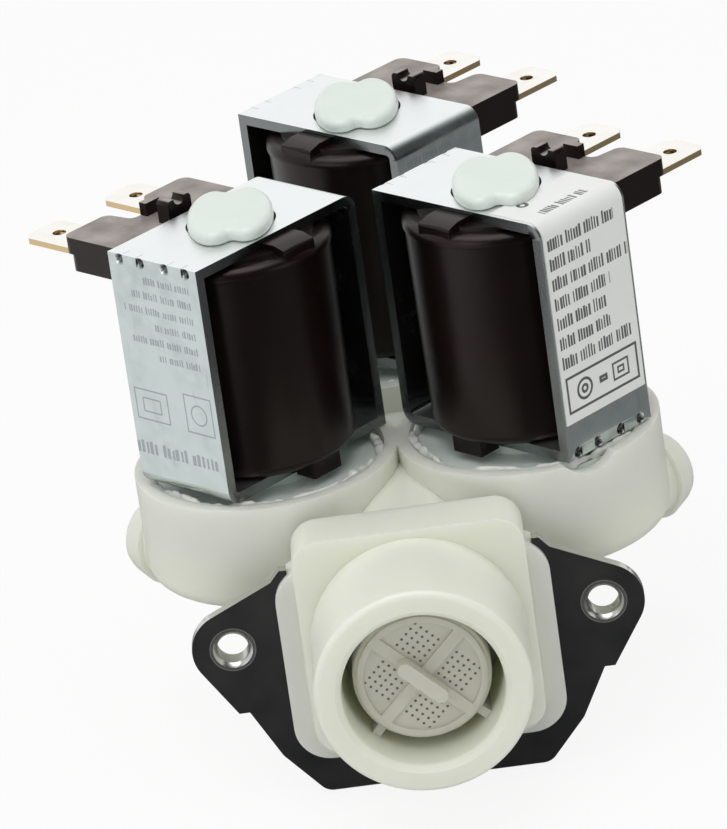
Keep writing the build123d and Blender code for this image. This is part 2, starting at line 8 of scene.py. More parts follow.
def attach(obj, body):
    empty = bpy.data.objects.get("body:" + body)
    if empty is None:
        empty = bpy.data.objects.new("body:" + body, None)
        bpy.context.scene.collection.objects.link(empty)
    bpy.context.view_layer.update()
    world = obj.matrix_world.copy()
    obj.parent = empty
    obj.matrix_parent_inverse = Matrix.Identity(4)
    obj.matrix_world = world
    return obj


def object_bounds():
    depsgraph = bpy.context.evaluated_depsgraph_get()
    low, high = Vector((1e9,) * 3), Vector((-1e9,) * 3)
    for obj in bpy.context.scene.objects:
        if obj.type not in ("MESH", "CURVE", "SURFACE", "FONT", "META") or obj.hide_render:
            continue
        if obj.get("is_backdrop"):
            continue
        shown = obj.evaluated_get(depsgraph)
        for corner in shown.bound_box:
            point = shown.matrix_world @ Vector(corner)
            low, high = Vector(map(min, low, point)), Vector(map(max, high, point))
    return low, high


# Triple water valve: three coils on a milky moulded body, one inlet nose, one dark bracket.
# CAD frame: +Y runs from the inlet into the appliance, +Z is up along the coils. Lengths in the
# dictionaries are millimetres unless a note says metres, and pattern scales are per metre.

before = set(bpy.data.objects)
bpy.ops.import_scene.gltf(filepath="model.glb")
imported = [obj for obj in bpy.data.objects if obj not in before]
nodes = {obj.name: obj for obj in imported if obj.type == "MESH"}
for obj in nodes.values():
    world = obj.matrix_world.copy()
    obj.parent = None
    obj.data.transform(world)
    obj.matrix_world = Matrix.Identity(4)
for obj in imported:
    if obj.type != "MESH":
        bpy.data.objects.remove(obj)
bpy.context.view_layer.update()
scene = bpy.context.scene
mm = 0.001
# Turn of each valve about its own upright axis in degrees, and where that axis stands
valveSet = {"left": {"turn": 45.0, "place": (-16.35, 22.5)},
            "right": {"turn": -45.0, "place": (16.35, 22.5)},
            "rear": {"turn": -45.0, "place": (0.0, 55.4)}}
print("frame loaded:", len(nodes), "nodes")


# Camera: a long lens a little right of the nose, looking down on it, tilted to the left.
cameraSet = {"place": (19.51, -726.75, 336.67), "target": (-3.64, 22.5, 19.10), "roll": -8.19,
             "focalPixels": 6572.83, "imageHeight": 829.0, "sensor": 36.0, "clip": (10.0, 20000.0)}


def makeCamera(values):
    data = bpy.data.cameras.new("photoCamera")
    data.sensor_width = values["sensor"]
    data.lens = values["focalPixels"] * values["sensor"] / values["imageHeight"]
    data.clip_start, data.clip_end = (edge * mm for edge in values["clip"])
    camera = bpy.data.objects.new("photoCamera", data)
    scene.collection.objects.link(camera)
    place = Vector(values["place"]) * mm
    forward = (Vector(values["target"]) * mm - place).normalized()
    level = forward.cross(Vector((0, 0, 1))).normalized()
    lift = level.cross(forward)
    roll = math.radians(values["roll"])
    right = math.cos(roll) * level + math.sin(roll) * lift
    up = math.cos(roll) * lift - math.sin(roll) * level
    turn = Matrix((right, up, -forward)).transposed().to_4x4()
    camera.matrix_world = Matrix.Translation(place) @ turn
    scene.camera = camera


makeCamera(cameraSet)
scene.view_settings.view_transform = "Standard"
print("camera placed")


# Small helpers for shader trees
def feed(tree, node, links):
    # links: input name or index to an output socket or to a plain value
    for key, source in links.items():
        if hasattr(source, "is_output"):
            tree.links.new(source, node.inputs[key])
        else:
            node.inputs[key].default_value = source


def addNode(tree, kind, links=None, **settings):
    node = tree.nodes.new(kind)
    for key, value in settings.items():
        setattr(node, key, value)
    feed(tree, node, links or {})
    return node


def placeGroup(tree, group, links):
    return addNode(tree, "ShaderNodeGroup", links, node_tree=group).outputs


def mathNode(tree, operation, *terms, clamp=False):
    links = dict(enumerate(terms))
    return addNode(tree, "ShaderNodeMath", links, operation=operation, use_clamp=clamp).outputs[0]


def chain(tree, operation, terms):
    # One operation along a list: MULTIPLY where all masks have to hold, MAXIMUM where any may
    total = terms[0]
    for term in terms[1:]:
        total = mathNode(tree, operation, total, term)
    return total


def distance(tree, first, second):
    squares = [mathNode(tree, "POWER", side, 2.0) for side in (first, second)]
    return mathNode(tree, "SQRT", mathNode(tree, "ADD", *squares))


def mixColour(tree, factor, first, second):
    links = {0: factor, 6: first, 7: second}
    return addNode(tree, "ShaderNodeMix", links, data_type="RGBA").outputs[2]


def mixValue(tree, factor, first, second):
    return addNode(tree, "ShaderNodeMix", {0: factor, 2: first, 3: second}).outputs[0]


def rampBetween(tree, value, low, high, toLow=0.0, toHigh=1.0):
    links = {0: value, 1: low, 2: high, 3: toLow, 4: toHigh}
    return addNode(tree, "ShaderNodeMapRange", links).outputs[0]


def noise(tree, where, scale, detail, roughness=0.5):
    links = {"Vector": where, "Scale": scale, "Detail": detail, "Roughness": roughness}
    return addNode(tree, "ShaderNodeTexNoise", links).outputs["Fac"]


def partsOf(tree, vector):
    return addNode(tree, "ShaderNodeSeparateXYZ", {0: vector}).outputs


def newGroup(name, inputs, outputs):
    # inputs: socket name to its first value, where None is a vector that has to be linked
    group = bpy.data.node_groups.new(name, "ShaderNodeTree")
    for label, value in inputs.items():
        kind = {float: floatKind, tuple: colourKind}.get(type(value), vectorKind)
        socket = group.interface.new_socket(name=label, in_out="INPUT", socket_type=kind)
        if value is not None:
            socket.default_value = value
    for label, kind in outputs.items():
        group.interface.new_socket(name=label, in_out="OUTPUT", socket_type=kind)
    enter, leave = group.nodes.new("NodeGroupInput"), group.nodes.new("NodeGroupOutput")
    return group, enter.outputs, leave


floatKind, colourKind, vectorKind = "NodeSocketFloat", "NodeSocketColor", "NodeSocketVector"
surfaceKinds = {"Colour": colourKind, "Roughness": floatKind, "Normal": vectorKind}
white = (1, 1, 1, 1)


# Moulded surface: colour drifts over centimetres, a fine grain lifts the surface, and slow ripples
# bend the gloss. drift = smooth noise, height = fine grain and wide ripple, one bump on the other,
# roughness = the given one plus grain times its drift. Depths are in metres.
mouldLook = {"driftEdges": (0.3, 0.7), "driftDetail": 3.0, "grainDetail": 2.0,
             "grainDepth": 0.00002, "rippleScale": 260.0, "rippleDetail": 1.0,
             "rippleDepth": 0.0002}


def makeMouldGroup(values):
    group, given, leave = newGroup("mouldedSurface", {
        "Vector": None, "Colour": white, "Second Colour": white, "Drift Scale": 60.0,
        "Drift": 0.5, "Grain Scale": 3000.0, "Grain": 0.1, "Ripple": 0.1, "Roughness": 0.4,
        "Roughness Drift": 0.1}, surfaceKinds)
    where = given["Vector"]
    drift = noise(group, where, given["Drift Scale"], values["driftDetail"])
    grain = noise(group, where, given["Grain Scale"], values["grainDetail"])
    ripple = noise(group, where, values["rippleScale"], values["rippleDetail"])
    amount = mathNode(group, "MULTIPLY", rampBetween(group, drift, *values["driftEdges"]),
                      given["Drift"])
    fine = addNode(group, "ShaderNodeBump", {"Strength": given["Grain"], "Height": grain,
                   "Distance": values["grainDepth"]}).outputs[0]
    wide = addNode(group, "ShaderNodeBump", {"Strength": given["Ripple"], "Height": ripple,
                   "Distance": values["rippleDepth"], "Normal": fine}).outputs[0]
    feed(group, leave, {
        "Colour": mixColour(group, amount, given["Colour"], given["Second Colour"]),
        "Roughness": mathNode(group, "MULTIPLY_ADD", grain, given["Roughness Drift"],
                              given["Roughness"]),
        "Normal": wide})
    return group


# Rolled strip: cloudy patches broken up by soft crystal cells, and a few long scratches.
# patch = clouds times cell depth, scratch = thin crests of a squeezed noise, and both together
# shift the colour and the roughness. Depth is in metres.
rolledLook = {"squeeze": (60.0, 900.0, 160.0), "squeezeTurn": (0.3, 0.2, 0.5),
              "scratchEdges": (0.66, 0.72), "cellScale": 620.0, "cellEdges": (0.1, 0.9),
              "cloudScale": 190.0, "cloudEdges": (0.38, 0.66), "grainScale": 2600.0,
              "cloudRelief": 2.0, "roughRise": 0.16, "depth": 0.00002}


def makeRolledGroup(values):
    group, given, leave = newGroup("rolledStrip", {
        "Vector": None, "Colour": white, "Second Colour": white, "Scratch": 0.3, "Patch": 0.5,
        "Roughness": 0.3, "Bump": 0.2}, surfaceKinds)
    where = given["Vector"]
    squeezed = addNode(group, "ShaderNodeMapping", {"Vector": where, "Scale": values["squeeze"],
                       "Rotation": values["squeezeTurn"]}).outputs[0]
    thread = noise(group, squeezed, 1.0, 3.0)
    cells = addNode(group, "ShaderNodeTexVoronoi", {"Vector": where, "Scale": values["cellScale"]},
                    feature="SMOOTH_F1").outputs["Distance"]
    cloud = noise(group, where, values["cloudScale"], 5.0)
    grain = noise(group, where, values["grainScale"], 2.0)
    patch = chain(group, "MULTIPLY", [rampBetween(group, cloud, *values["cloudEdges"]),
                                      rampBetween(group, cells, *values["cellEdges"]),
                                      given["Patch"]])
    scratch = mathNode(group, "MULTIPLY", rampBetween(group, thread, *values["scratchEdges"]),
                       given["Scratch"])
    wearAndSheen = mathNode(group, "ADD", patch, scratch, clamp=True)
    relief = mathNode(group, "MULTIPLY_ADD", cloud, values["cloudRelief"], grain)
    bump = addNode(group, "ShaderNodeBump", {"Strength": given["Bump"], "Height": relief,
                   "Distance": values["depth"]}).outputs[0]
    feed(group, leave, {
        "Colour": mixColour(group, wearAndSheen, given["Colour"], given["Second Colour"]),
        "Roughness": mathNode(group, "MULTIPLY_ADD", wearAndSheen, values["roughRise"],
                              given["Roughness"]),
        "Normal": bump})
    return group


# Dust and scuffs: sparse specks where two noises meet, mask = fine noise above a cut times patches.
scuffLook = {"speckEdges": (0.60, 0.68), "patchScale": 120.0, "patchEdges": (0.48, 0.60)}


def makeScuffGroup(values):
    group, given, leave = newGroup("scuffs", {"Vector": None, "Scale": 900.0, "Amount": 0.3},
                                   {"Mask": floatKind})
    specks = noise(group, given["Vector"], given["Scale"], 5.0, 0.7)
    patches = noise(group, given["Vector"], values["patchScale"], 2.0)
    spots = mathNode(group, "MULTIPLY", rampBetween(group, specks, *values["speckEdges"]),
                     rampBetween(group, patches, *values["patchEdges"]))
    feed(group, leave, {"Mask": mathNode(group, "MULTIPLY", spots, given["Amount"], clamp=True)})
    return group


# Rows of plain short bars. row = floor(down / row pitch), tick = floor(across / tick pitch), and
# a bar shows where the random number of its cell, its word and its row's length all allow it.
# wordTicks = ticks to a word with its space, and the other values are shares of a tick or a row.
rowsLook = {"wordTicks": 7.0, "wordFill": 5.5, "shortest": 0.56, "lengthSpread": 0.5,
            "thinnest": 0.42, "widthSpread": 0.4, "topSpread": 0.16}


def makeRowsGroup(values):
    group, given, leave = newGroup("barRows", {
        "Across": 0.0, "Down": 0.0, "Row Pitch": 0.0026, "Row Fill": 0.66, "Rows": 7.0,
        "Tick Pitch": 0.0005, "Width": 0.013, "Seed": 1.0}, {"Mask": floatKind})

    def cellOf(length, pitch):
        cells = mathNode(group, "DIVIDE", length, pitch)
        return mathNode(group, "FLOOR", cells), mathNode(group, "FRACT", cells)

    def chance(first, second, third, spread, least=0.0):
        cell = addNode(group, "ShaderNodeCombineXYZ", {0: first, 1: second, 2: third}).outputs[0]
        value = addNode(group, "ShaderNodeTexWhiteNoise", {"Vector": cell}).outputs["Value"]
        return mathNode(group, "MULTIPLY_ADD", value, spread, least)

    across, down, seed = given["Across"], given["Down"], given["Seed"]
    row, inRow = cellOf(down, given["Row Pitch"])
    tick, inTick = cellOf(across, given["Tick Pitch"])
    word = mathNode(group, "FLOOR", mathNode(group, "DIVIDE", tick, values["wordTicks"]))
    inWord = mathNode(group, "SUBTRACT", tick,
                      mathNode(group, "MULTIPLY", word, values["wordTicks"]))
    length = chance(row, 3.0, seed, values["lengthSpread"], values["shortest"])
    limits = [("GREATER_THAN", down, 0.0), ("LESS_THAN", row, given["Rows"]),
              ("GREATER_THAN", across, 0.0),
              ("LESS_THAN", across, mathNode(group, "MULTIPLY", length, given["Width"])),
              ("LESS_THAN", inTick, chance(tick, row, seed, values["widthSpread"],
                                           values["thinnest"])),
              ("GREATER_THAN", inRow, chance(tick, 5.0, row, values["topSpread"])),
              ("LESS_THAN", inRow, given["Row Fill"]), ("LESS_THAN", inWord, values["wordFill"])]
    feed(group, leave, {"Mask": chain(group, "MULTIPLY", [
        mathNode(group, *limit) for limit in limits])})
    return group


mouldGroup, rolledGroup = makeMouldGroup(mouldLook), makeRolledGroup(rolledLook)
scuffGroup, rowsGroup = makeScuffGroup(scuffLook), makeRowsGroup(rowsLook)
print("effect groups built")


def startMaterial(name, valve=None):
    # Object coordinates, for a valve moved to its axis and turned so that X runs across its yoke
    material = bpy.data.materials.new(name)
    material.use_nodes = True
    tree = material.node_tree
    where = addNode(tree, "ShaderNodeTexCoord").outputs["Object"]
    if valve:
        angle = math.radians(valveSet[valve]["turn"])
        axis = Vector((*valveSet[valve]["place"], 0)) * mm
        back = Matrix.Rotation(-angle, 3, "Z") @ axis
        where = addNode(tree, "ShaderNodeMapping", {"Vector": where, "Location": -back,
                        "Rotation": (0, 0, -angle)}).outputs[0]
    return material, tree, tree.nodes["Principled BSDF"], where


def facingParts(tree, valve=None):
    # X, Y and Z of the face's direction, for a valve in its own directions
    facing = addNode(tree, "ShaderNodeNewGeometry").outputs["Normal"]
    if valve:
        turn = (0, 0, -math.radians(valveSet[valve]["turn"]))
        facing = addNode(tree, "ShaderNodeMapping", {"Vector": facing, "Rotation": turn},
                         vector_type="VECTOR").outputs[0]
    return partsOf(tree, facing)


def absolute(tree, value):
    return mathNode(tree, "ABSOLUTE", value)


def outlineMask(tree, across, down, centre, half, line):
    # Thin rectangle: the larger of the two edge distances, within half a line of zero
    sides = []
    for source, middle, size in ((across, centre[0], half[0]), (down, centre[1], half[1])):
        offset = absolute(tree, mathNode(tree, "SUBTRACT", source, middle * mm))
        sides.append(mathNode(tree, "SUBTRACT", offset, size * mm))
    away = absolute(tree, mathNode(tree, "MAXIMUM", *sides))
    return mathNode(tree, "LESS_THAN", away, line * mm / 2)


def ringMask(tree, across, down, centre, radius, line):
    # Thin ring: distance from the centre, within half a line of the radius
    sides = [mathNode(tree, "SUBTRACT", source, middle * mm)
             for source, middle in ((across, centre[0]), (down, centre[1]))]
    away = mathNode(tree, "SUBTRACT", distance(tree, *sides), radius * mm)
    return mathNode(tree, "LESS_THAN", absolute(tree, away), line * mm / 2)


def rowsMask(tree, across, down, rows):
    return placeGroup(tree, rowsGroup, {
        "Across": mathNode(tree, "SUBTRACT", across, rows["start"] * mm),
        "Down": mathNode(tree, "SUBTRACT", down, rows["top"] * mm),
        "Row Pitch": rows["pitch"] * mm, "Row Fill": rows["fill"], "Rows": rows["count"],
        "Tick Pitch": rows["tick"] * mm, "Width": rows["width"] * mm, "Seed": rows["seed"]})[0]


def plainMarks(tree, across, down, marks):
    # Rows of bars, boxes of (centre, half size, line) and rings of (centre, radius, line)
    masks = [rowsMask(tree, across, down, rows) for rows in marks["rows"]]
    masks += [outlineMask(tree, across, down, *box) for box in marks.get("boxes", ())]
    masks += [ringMask(tree, across, down, *ring) for ring in marks.get("rings", ())]
    return chain(tree, "MAXIMUM", masks)


def mouldSurface(tree, where, values):
    return placeGroup(tree, mouldGroup, {
        "Vector": where, "Colour": values["colour"], "Second Colour": values["second"],
        "Drift Scale": values.get("driftScale", 60.0), "Drift": values.get("drift", 0.5),
        "Grain Scale": values.get("grainScale", 3000.0), "Grain": values.get("grain", 0.1),
        "Ripple": values.get("ripple", 0.1), "Roughness": values["roughness"],
        "Roughness Drift": values.get("roughDrift", 0.1)})


def rolledSurface(tree, where, values):
    return placeGroup(tree, rolledGroup, {
        "Vector": where, "Colour": values["colour"], "Second Colour": values["second"],
        "Scratch": values["scratch"], "Patch": values["patch"],
        "Roughness": values["roughness"], "Bump": values["bump"]})


def scuffMask(tree, where, scale, amount):
    return placeGroup(tree, scuffGroup, {"Vector": where, "Scale": scale, "Amount": amount})[0]


def dress(tree, shader, surface, changes):
    # A surface group's colour, roughness and bump on the shader, with what changes in their place
    feed(tree, shader, {"Base Color": surface["Colour"], "Roughness": surface["Roughness"],
                        "Normal": surface["Normal"], **changes})


# Plain plastics and metals. second = the colour it drifts to, depth = how far light soaks in,
# depthScale in metres, driftScale = how fine the drift is.
plasticSet = {
    "body": {"colour": (0.85, 0.865, 0.775, 1), "second": (0.80, 0.82, 0.715, 1), "grain": 0.2,
             "roughness": 0.34, "depth": 0.7, "depthScale": 0.0035, "scuff": 0.08},
    "filter": {"colour": (0.66, 0.65, 0.575, 1), "second": (0.58, 0.57, 0.50, 1), "drift": 0.6,
               "grain": 0.3, "roughness": 0.5, "depth": 0.3},
    "tube": {"colour": (0.76, 0.83, 0.78, 1), "second": (0.69, 0.77, 0.72, 1), "drift": 0.8,
             "driftScale": 110.0, "grain": 0.05, "ripple": 0.15, "roughness": 0.30,
             "roughDrift": 0.0, "depth": 0.3},
    "flash": {"colour": (0.87, 0.88, 0.81, 1), "second": (0.80, 0.82, 0.74, 1), "drift": 0.6,
              "driftScale": 300.0, "ripple": 0.3, "roughness": 0.2, "depth": 0.6},
    "bobbin": {"colour": (0.10, 0.08, 0.07, 1), "second": (0.13, 0.10, 0.09, 1),
               "roughness": 0.4},
    "white": {"colour": (0.72, 0.72, 0.69, 1), "second": (0.66, 0.66, 0.62, 1),
              "roughness": 0.45},
    "rubber": {"colour": (0.018, 0.018, 0.018, 1), "second": (0.035, 0.035, 0.035, 1),
               "grain": 0.5, "roughness": 0.6},
}
metalSet = {
    "inner": {"colour": (0.55, 0.55, 0.56, 1), "second": (0.45, 0.45, 0.46, 1), "scratch": 0.4,
              "patch": 0.3, "roughness": 0.3, "bump": 0.2},
    "copper": {"colour": (0.62, 0.26, 0.12, 1), "second": (0.40, 0.14, 0.06, 1), "scratch": 0.6,
               "patch": 0.2, "roughness": 0.3, "bump": 0.5},
}


def plasticMaterial(name, values):
    material, tree, shader, where = startMaterial(name)
    surface = mouldSurface(tree, where, values)
    scuff = scuffMask(tree, where, 900.0, values.get("scuff", 0.1))
    dress(tree, shader, surface, {
        "Base Color": mixColour(tree, scuff, surface["Colour"], values["second"])})
    if "depth" in values:
        feed(tree, shader, {"Subsurface Weight": values["depth"],
                            "Subsurface Radius": (1.0, 1.0, 0.85),
                            "Subsurface Scale": values.get("depthScale", 0.002)})
    return material


def metalMaterial(name, values):
    material, tree, shader, where = startMaterial(name)
    dress(tree, shader, rolledSurface(tree, where, values), {"Metallic": 1.0})
    return material


# Coil moulding: near black with a brown cast, satin on the connector's broad top faces.
# top = faces that look up, above the drawn height and behind the yoke, less glossy and painted
# greyer as a painted sheen of reflected room light; that sheen's share is top times a cloudy noise.
coilSet = {"colour": (0.0042, 0.0019, 0.0015, 1), "second": (0.0100, 0.0045, 0.0034, 1),
           "driftScale": 110.0, "drift": 0.7, "grainScale": 3200.0, "grain": 0.12,
           "ripple": 0.22, "roughness": 0.25, "roughDrift": 0.12,
           "dust": (0.070, 0.050, 0.042, 1), "dustScale": 1100.0, "dustShare": 0.12,
           # the top colour below is a painted sheen: room light reflected on the connector tops
           "paintedSheenColour": (0.37, 0.33, 0.31, 1), "topRoughness": 0.40, "topFacing": (0.80, 0.97),
           "topFrom": 38.0, "backFrom": 7.2, "cloudScale": 260.0,
           "cloudShare": (0.25, 0.7, 0.45, 1.0), "specular": 0.30,
           "specularTint": (1.0, 0.90, 0.87, 1)}


def coilMaterial(valve, values):
    material, tree, shader, where = startMaterial("coilMoulding" + valve.capitalize(), valve)
    surface = mouldSurface(tree, where, values)
    place = partsOf(tree, where)
    above, behind = (rampBetween(tree, place[way], values[low] * mm, (values[low] + 1) * mm)
                     for way, low in (("Z", "topFrom"), ("Y", "backFrom")))
    upward = rampBetween(tree, facingParts(tree)["Z"], *values["topFacing"])
    top = chain(tree, "MULTIPLY", [upward, above, behind])
    # Painted sheen: light grey mixed onto the connector tops in cloudy patches, standing in for
    # reflected light
    cloud = noise(tree, where, values["cloudScale"], 4.0)
    wearAndSheen = mathNode(tree, "MULTIPLY", top, rampBetween(tree, cloud, *values["cloudShare"]))
    dust = scuffMask(tree, where, values["dustScale"], values["dustShare"])
    colour = mixColour(tree, dust, surface["Colour"], values["dust"])
    colour = mixColour(tree, wearAndSheen, colour, values["paintedSheenColour"])
    dress(tree, shader, surface, {
        "Base Color": colour, "Specular IOR Level": values["specular"],
        "Specular Tint": values["specularTint"],
        "Roughness": mixValue(tree, top, surface["Roughness"], values["topRoughness"])})
    return material


# Yoke: bright zinc, greyer cut edges with a painted highlight line along them, and fine etched
# marks on a leg. cut = faces along the strip's width, top = faces that look up, painted near white
# as a painted highlight, etch = marks on the outer face, dent = painted shade in the stake dents:
# the width is folded about its middle, and the row of dents lies high on one leg and low on the
# other. Marks are measured across the leg and down from the top.
yokeSet = {"colour": (0.60, 0.67, 0.66, 1), "second": (0.42, 0.48, 0.48, 1), "scratch": 0.25,
           "patch": 0.75, "roughness": 0.22, "bump": 0.5,
           "cut": (0.15, 0.155, 0.16, 1), "cutShare": 0.85, "cutFacing": (0.72, 0.90),
           # line is a painted highlight along the cut edges, top a painted highlight on faces that
           # look up
           "line": (0.92, 0.94, 0.95, 1), "glintLineFacing": ((0.20, 0.45), (0.70, 0.90, 1.0, 0.0)),
           "top": (0.93, 0.95, 0.95, 1), "paintedHighlightShare": 0.8, "topFacing": (0.80, 0.97),
           "topRoughness": 0.34, "plateTop": 46.8, "half": 13.9,
           # the dent colour is painted shade in the stake dents
           "dentShadeColour": (0.05, 0.052, 0.05, 1), "dentAcross": (3.9, 1.75),
           "dentDown": (0.65, 30.55), "dentSize": (0.45, 0.78), "dentShadeShare": 0.9,
           "etch": (0.30, 0.32, 0.34, 1), "etchShare": {"left": 0.75, "rear": 0.35},
           "etchSide": {"left": -1.0, "rear": 1.0}, "etchFacing": (0.85, 0.95)}
etchMarks = {
    "rows": ({"start": -5.9, "top": 2.3, "pitch": 2.02, "fill": 0.52, "count": 6.0, "tick": 0.42,
              "width": 11.9, "seed": 4.0},
             {"start": -6.4, "top": 24.9, "pitch": 3.4, "fill": 0.52, "count": 1.0, "tick": 0.75,
              "width": 22.0, "seed": 9.0}),
    "boxes": (((-4.4, 19.6), (2.3, 2.5), 0.22), ((3.8, 19.9), (2.8, 2.0), 0.22),
              ((3.8, 19.9), (1.5, 0.9), 0.22)),
    "rings": (((-4.4, 19.6), 1.3, 0.22),)}


def yokeMaterial(valve, values):
    material, tree, shader, where = startMaterial("yokeZinc" + valve.capitalize(), valve)
    surface = rolledSurface(tree, where, values)
    place, facing = partsOf(tree, where), facingParts(tree, valve)
    along = absolute(tree, facing["Y"])
    cut = rampBetween(tree, along, *values["cutFacing"])
    line = chain(tree, "MULTIPLY", [rampBetween(tree, along, *edges)
                                    for edges in values["glintLineFacing"]])
    top = rampBetween(tree, facing["Z"], *values["topFacing"])
    # Painted highlight: faces that look up are mixed towards near white, as if lit by the lamp
    # above
    colour = mixColour(tree, mathNode(tree, "MULTIPLY", top, values["paintedHighlightShare"]),
                       surface["Colour"], values["top"])
    # Painted highlight: a light line on the faces that turn from the cut edge to the broad face
    colour = mixColour(tree, line, colour, values["line"])
    colour = mixColour(tree, mathNode(tree, "MULTIPLY", cut, values["cutShare"]), colour,
                       values["cut"])
    down = mathNode(tree, "SUBTRACT", values["plateTop"] * mm, place["Z"])
    # Painted shade: near-black spots in the stake dents stand in for the shade in their hollows
    fold = place["Y"]
    for middle in values["dentAcross"]:
        fold = mathNode(tree, "SUBTRACT", absolute(tree, fold), middle * mm)
    level = rampBetween(tree, place["X"], -mm, mm, *(rise * mm for rise in values["dentDown"]))
    away = distance(tree, fold, mathNode(tree, "SUBTRACT", down, level))
    near, far = (size * mm for size in values["dentSize"])
    dent = mathNode(tree, "MULTIPLY", rampBetween(tree, away, near, far, values["dentShadeShare"], 0.0),
                    mathNode(tree, "LESS_THAN", facing["Z"], 0.9))
    colour = mixColour(tree, dent, colour, values["dentShadeColour"])
    if valve in values["etchShare"]:
        outside = mathNode(tree, "MULTIPLY", place["X"], values["etchSide"][valve])
        etch = chain(tree, "MULTIPLY", [
            plainMarks(tree, place["Y"], down, etchMarks),
            mathNode(tree, "GREATER_THAN", outside, (values["half"] - 0.3) * mm),
            rampBetween(tree, absolute(tree, facing["X"]), *values["etchFacing"]),
            values["etchShare"][valve]])
        colour = mixColour(tree, etch, colour, values["etch"])
    dress(tree, shader, surface, {
        "Base Color": colour, "Metallic": 1.0,
        "Roughness": mixValue(tree, top, surface["Roughness"], values["topRoughness"])})
    return material


# Label film: white, with plain dark bars in rows, a boxed group of shapes and a short top row.
# Marks on the leg are measured down from the top, those on the plate out from the valve's axis.
labelSet = {"colour": (0.86, 0.87, 0.86, 1), "second": (0.80, 0.81, 0.80, 1),
            "driftScale": 150.0, "ripple": 0.25, "roughness": 0.30,
            "ink": (0.025, 0.025, 0.03, 1), "inkShare": 0.9, "plateTop": 46.9, "bend": 12.3}
legMarks = {
    "rows": ({"start": -6.6, "top": 2.1, "pitch": 2.6, "fill": 0.66, "count": 7.0, "tick": 0.47,
              "width": 13.2, "seed": 2.0},),
    "boxes": (((0.0, 22.95), (6.35, 2.25), 0.34), ((0.1, 22.95), (0.55, 0.25), 0.40),
              ((3.3, 22.95), (1.35, 1.05), 0.28), ((3.3, 22.95), (0.5, 0.35), 0.28)),
    "rings": (((-3.3, 22.95), 1.25, 0.36), ((-3.3, 22.95), 0.45, 0.36))}
plateMarks = {
    "rows": ({"start": -4.3, "top": 10.4, "pitch": 2.6, "fill": 0.62, "count": 1.0, "tick": 0.47,
              "width": 12.4, "seed": 7.0},),
    "rings": (((-3.4, 7.5), 0.55, 0.45),)}


def labelMaterial(values):
    material, tree, shader, where = startMaterial("labelFilm", "right")
    surface = mouldSurface(tree, where, values)
    place = partsOf(tree, where)
    down = mathNode(tree, "SUBTRACT", values["plateTop"] * mm, place["Z"])
    onPlate = mathNode(tree, "LESS_THAN", place["X"], values["bend"] * mm)
    printed = mixValue(tree, onPlate, plainMarks(tree, place["Y"], down, legMarks),
                       plainMarks(tree, place["Y"], place["X"], plateMarks))
    colour = mixColour(tree, mathNode(tree, "MULTIPLY", printed, values["inkShare"]),
                       surface["Colour"], values["ink"])
    dress(tree, shader, surface, {"Base Color": colour})
    return material


# Spades: tinned pale faces, brass showing on the thin cut edges.
# edge = faces that don't look up or down.
spadeSet = {"colour": (0.96, 0.945, 0.90, 1), "second": (0.84, 0.79, 0.68, 1), "scratch": 0.4,
            "patch": 0.5, "roughness": 0.2, "bump": 0.3, "edge": (0.66, 0.50, 0.28, 1),
            "edgeFacing": (0.35, 0.8, 1.0, 0.0)}


def spadeMaterial(values):
    material, tree, shader, where = startMaterial("spadeMetal")
    surface = rolledSurface(tree, where, values)
    edge = rampBetween(tree, absolute(tree, facingParts(tree)["Z"]), *values["edgeFacing"])
    dress(tree, shader, surface, {
        "Base Color": mixColour(tree, edge, surface["Colour"], values["edge"]),
        "Metallic": 1.0})
    return material


# Filter: beige, with square grids of fine holes in the four fields between the ribs, painted as
# dark dots of painted shade. hole = distance to the nearest grid point below the hole radius, on
# the end face only.
filterHoles = {"turn": 45.0, "axisHeight": -0.5, "pitch": 0.88, "hole": 0.18, "soft": (0.75, 1.15),
               "field": (0.95, 5.4), "reach": 7.0, "facing": (0.9, 0.98),
               "holeShade": (0.14, 0.136, 0.115, 1)}


def addFilterHoles(material, values):
    tree = material.node_tree
    where = addNode(tree, "ShaderNodeTexCoord").outputs["Object"]
    for change in ({"Location": (0, 0, -values["axisHeight"] * mm)},
                   {"Rotation": (0, math.radians(values["turn"]), 0)}):
        where = addNode(tree, "ShaderNodeMapping", {"Vector": where, **change}).outputs[0]
    place = partsOf(tree, where)
    low, high = (edge * mm for edge in values["field"])
    inside, offsets = [], []
    for way in ("X", "Z"):
        size = absolute(tree, place[way])
        inside += [mathNode(tree, "GREATER_THAN", size, low),
                   mathNode(tree, "LESS_THAN", size, high)]
        cells = mathNode(tree, "DIVIDE", mathNode(tree, "SUBTRACT", size, low),
                         values["pitch"] * mm)
        offsets.append(mathNode(tree, "SUBTRACT", mathNode(tree, "FRACT", cells), 0.5))
    radius = values["hole"] / values["pitch"]
    near, far = (radius * share for share in values["soft"])
    holes = chain(tree, "MULTIPLY", [
        rampBetween(tree, distance(tree, *offsets), near, far, 1.0, 0.0), *inside,
        rampBetween(tree, absolute(tree, facingParts(tree)["Y"]), *values["facing"]),
        mathNode(tree, "LESS_THAN", distance(tree, place["X"], place["Z"]), values["reach"] * mm),
        mathNode(tree, "LESS_THAN", place["Y"], 0.0)])
    # Painted shade: each hole is a dark dot on the solid end face, standing in for the shade inside
    # it
    socket = tree.nodes["Principled BSDF"].inputs["Base Color"]
    plain = socket.links[0].from_socket
    tree.links.new(mixColour(tree, holes, plain, values["holeShade"]), socket)


